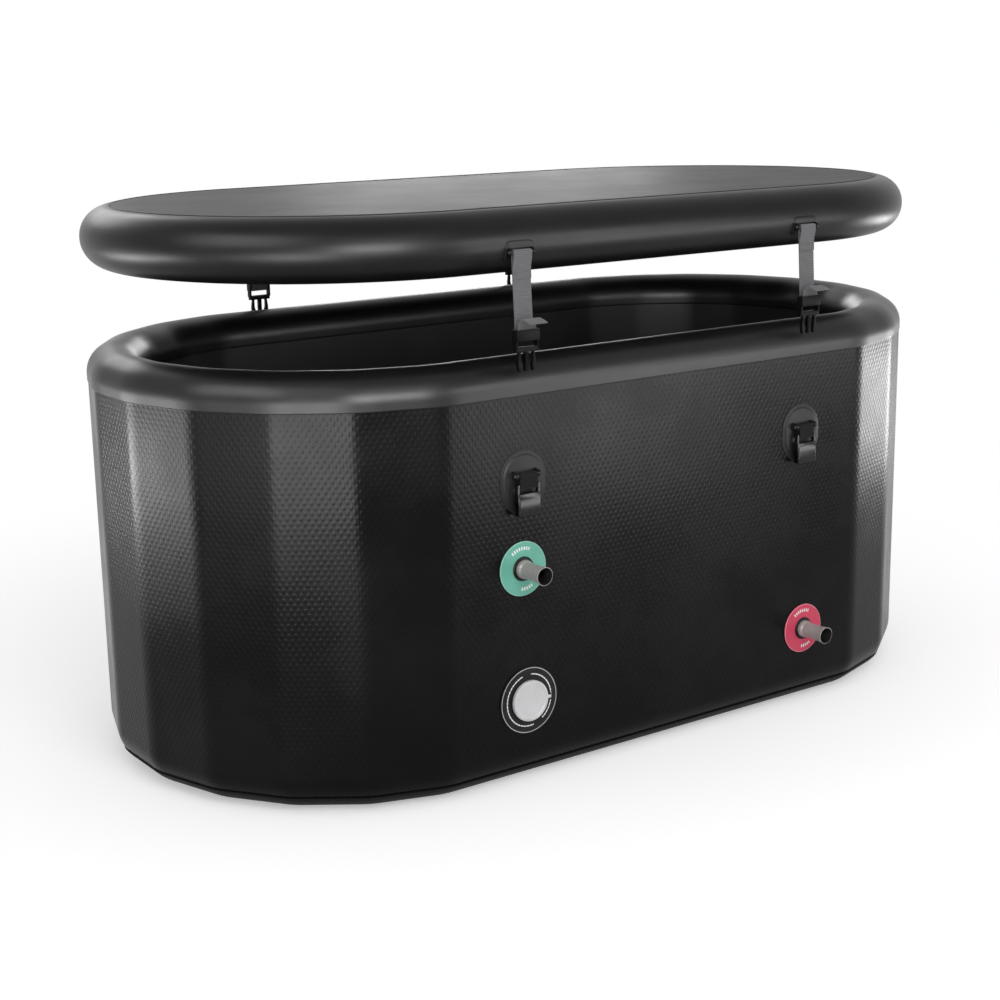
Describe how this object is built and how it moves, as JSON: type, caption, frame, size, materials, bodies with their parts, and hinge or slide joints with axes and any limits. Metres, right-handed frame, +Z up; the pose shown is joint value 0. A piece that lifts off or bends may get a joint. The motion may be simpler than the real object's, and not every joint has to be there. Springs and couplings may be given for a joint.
{
  "type": "cold plunge tub",
  "caption": "Inflatable cold plunge tub with faceted ends, a lift-off inflatable lid on webbing straps with side-release buckles, water ports and air valves.",
  "frame": {"origin": "on the floor under the middle of the tub", "axes": "+X along the tub's length, towards the end with the outlet port; the wall with the ports and the air valve faces -Y; +Z up"},
  "size_m": [1.486, 0.8773, 0.863],
  "materials": {
    "outer_skin": "satin",
    "smooth_band": "satin",
    "liner": "satin",
    "thread_core": "matte",
    "floor": "matte",
    "lid_panel": "satin",
    "lid_band": "satin",
    "seam": "matte",
    "webbing": "matte",
    "buckle": "gloss",
    "patch": "satin",
    "pin": "satin",
    "inlet_green": "satin",
    "outlet_red": "satin",
    "spout": "satin",
    "black_fitting": "satin",
    "gasket": "matte",
    "valve_grey": "satin",
    "spring_steel": "satin"
  },
  "bodies": {
    "tub": {"wall_core": "thread_core", "wall_outer_skin": "outer_skin", "wall_inner_skin": "liner", "rim_band": "smooth_band", "base_band": "smooth_band", "base_sheet": "floor", "floor_panel": "floor", "wall_seam_strip": "smooth_band", "wall_patches": "patch", "wall_anchor_pins": "pin", "port_sleeves": "black_fitting", "port_lock_rings": "black_fitting", "port_gaskets": "gasket", "port_inner_nuts": "black_fitting", "inlet_disc": "inlet_green", "outlet_disc": "outlet_red", "inlet_spout": "spout", "outlet_spout": "spout", "wall_valve_flange": "black_fitting", "wall_valve_body": "valve_grey", "wall_valve_nut": "black_fitting", "wall_valve_spring": "spring_steel", "wall_valve_hinge_pin": "pin"},
    "lid": {"lid_core": "thread_core", "lid_top_panel": "lid_panel", "lid_bottom_panel": "lid_panel", "lid_side_band": "lid_band", "lid_seam_bead": "seam", "lid_patches": "patch", "lid_anchor_pins": "pin", "lid_valve_flange": "black_fitting", "lid_valve_body": "valve_grey", "lid_valve_nut": "black_fitting", "lid_valve_spring": "spring_steel", "lid_valve_hinge_pin": "pin"},
    "inlet_stopper": {"inlet_stopper": "gasket"},
    "outlet_stopper": {"outlet_stopper": "gasket"},
    "wall_valve_cap": {"wall_valve_cap": "valve_grey"},
    "wall_valve_plunger": {"wall_valve_plunger": "valve_grey", "wall_valve_seal": "gasket"},
    "lid_valve_cap": {"lid_valve_cap": "valve_grey"},
    "lid_valve_plunger": {"lid_valve_plunger": "valve_grey", "lid_valve_seal": "gasket"},
    "socket_front_left": {"socket_front_left": "buckle", "socket_loop_front_left": "webbing"},
    "strap_front_left": {"strap_front_left": "webbing", "tongue_front_left": "buckle"},
    "socket_front_right": {"socket_front_right": "buckle", "socket_loop_front_right": "webbing"},
    "strap_front_right": {"strap_front_right": "webbing", "tongue_front_right": "buckle"},
    "socket_back_left": {"socket_back_left": "buckle", "socket_loop_back_left": "webbing"},
    "strap_back_left": {"strap_back_left": "webbing", "tongue_back_left": "buckle"},
    "socket_back_right": {"socket_back_right": "buckle", "socket_loop_back_right": "webbing"},
    "strap_back_right": {"strap_back_right": "webbing", "tongue_back_right": "buckle"}
  },
  "joints": [
    {"name": "lid_lift", "type": "slide", "parent": "tub", "child": "lid", "axis": [0, 0, 1], "range_m": [-0.1196, 0.45]},
    {"name": "strap_swing_front_left", "type": "hinge", "parent": "lid", "child": "strap_front_left", "pos_m": [-0.28, -0.3938, 0.803], "axis": [-1, 0, 0], "range_deg": [0, 80]},
    {"name": "strap_swing_front_right", "type": "hinge", "parent": "lid", "child": "strap_front_right", "pos_m": [0.28, -0.3938, 0.803], "axis": [-1, 0, 0], "range_deg": [0, 80]},
    {"name": "strap_swing_back_left", "type": "hinge", "parent": "lid", "child": "strap_back_left", "pos_m": [-0.28, 0.3938, 0.803], "axis": [1, 0, 0], "range_deg": [0, 80]},
    {"name": "strap_swing_back_right", "type": "hinge", "parent": "lid", "child": "strap_back_right", "pos_m": [0.28, 0.3938, 0.803], "axis": [1, 0, 0], "range_deg": [0, 80]},
    {"name": "socket_flip_front_left", "type": "hinge", "parent": "tub", "child": "socket_front_left", "pos_m": [-0.28, -0.4008, 0.482], "axis": [-1, 0, 0], "range_deg": [0, 180]},
    {"name": "socket_flip_front_right", "type": "hinge", "parent": "tub", "child": "socket_front_right", "pos_m": [0.28, -0.4008, 0.482], "axis": [-1, 0, 0], "range_deg": [0, 180]},
    {"name": "socket_flip_back_left", "type": "hinge", "parent": "tub", "child": "socket_back_left", "pos_m": [-0.28, 0.4008, 0.482], "axis": [1, 0, 0], "range_deg": [0, 180]},
    {"name": "socket_flip_back_right", "type": "hinge", "parent": "tub", "child": "socket_back_right", "pos_m": [0.28, 0.4008, 0.482], "axis": [1, 0, 0], "range_deg": [0, 180]},
    {"name": "wall_valve_cap_hinge", "type": "hinge", "parent": "tub", "child": "wall_valve_cap", "pos_m": [-0.2395, -0.3938, 0.133], "axis": [0, 0, 1], "range_deg": [0, 110]},
    {"name": "wall_valve_press", "type": "slide", "parent": "tub", "child": "wall_valve_plunger", "axis": [0, 1, 0], "range_m": [0, 0.006], "stiffness_N_per_m": 400, "springref_m": -0.004, "deforming": ["wall_valve_spring"]},
    {"name": "lid_valve_cap_hinge", "type": "hinge", "parent": "lid", "child": "lid_valve_cap", "pos_m": [0.2055, 0.11, 0.765], "axis": [0, -1, 0], "range_deg": [0, 110]},
    {"name": "lid_valve_press", "type": "slide", "parent": "lid", "child": "lid_valve_plunger", "axis": [0, 0, 1], "range_m": [0, 0.006], "stiffness_N_per_m": 400, "springref_m": -0.004, "deforming": ["lid_valve_spring"]},
    {"name": "inlet_stopper_pull", "type": "slide", "parent": "tub", "child": "inlet_stopper", "axis": [0, 1, 0], "range_m": [0, 0.08]},
    {"name": "outlet_stopper_pull", "type": "slide", "parent": "tub", "child": "outlet_stopper", "axis": [0, 1, 0], "range_m": [0, 0.08]}
  ]
}
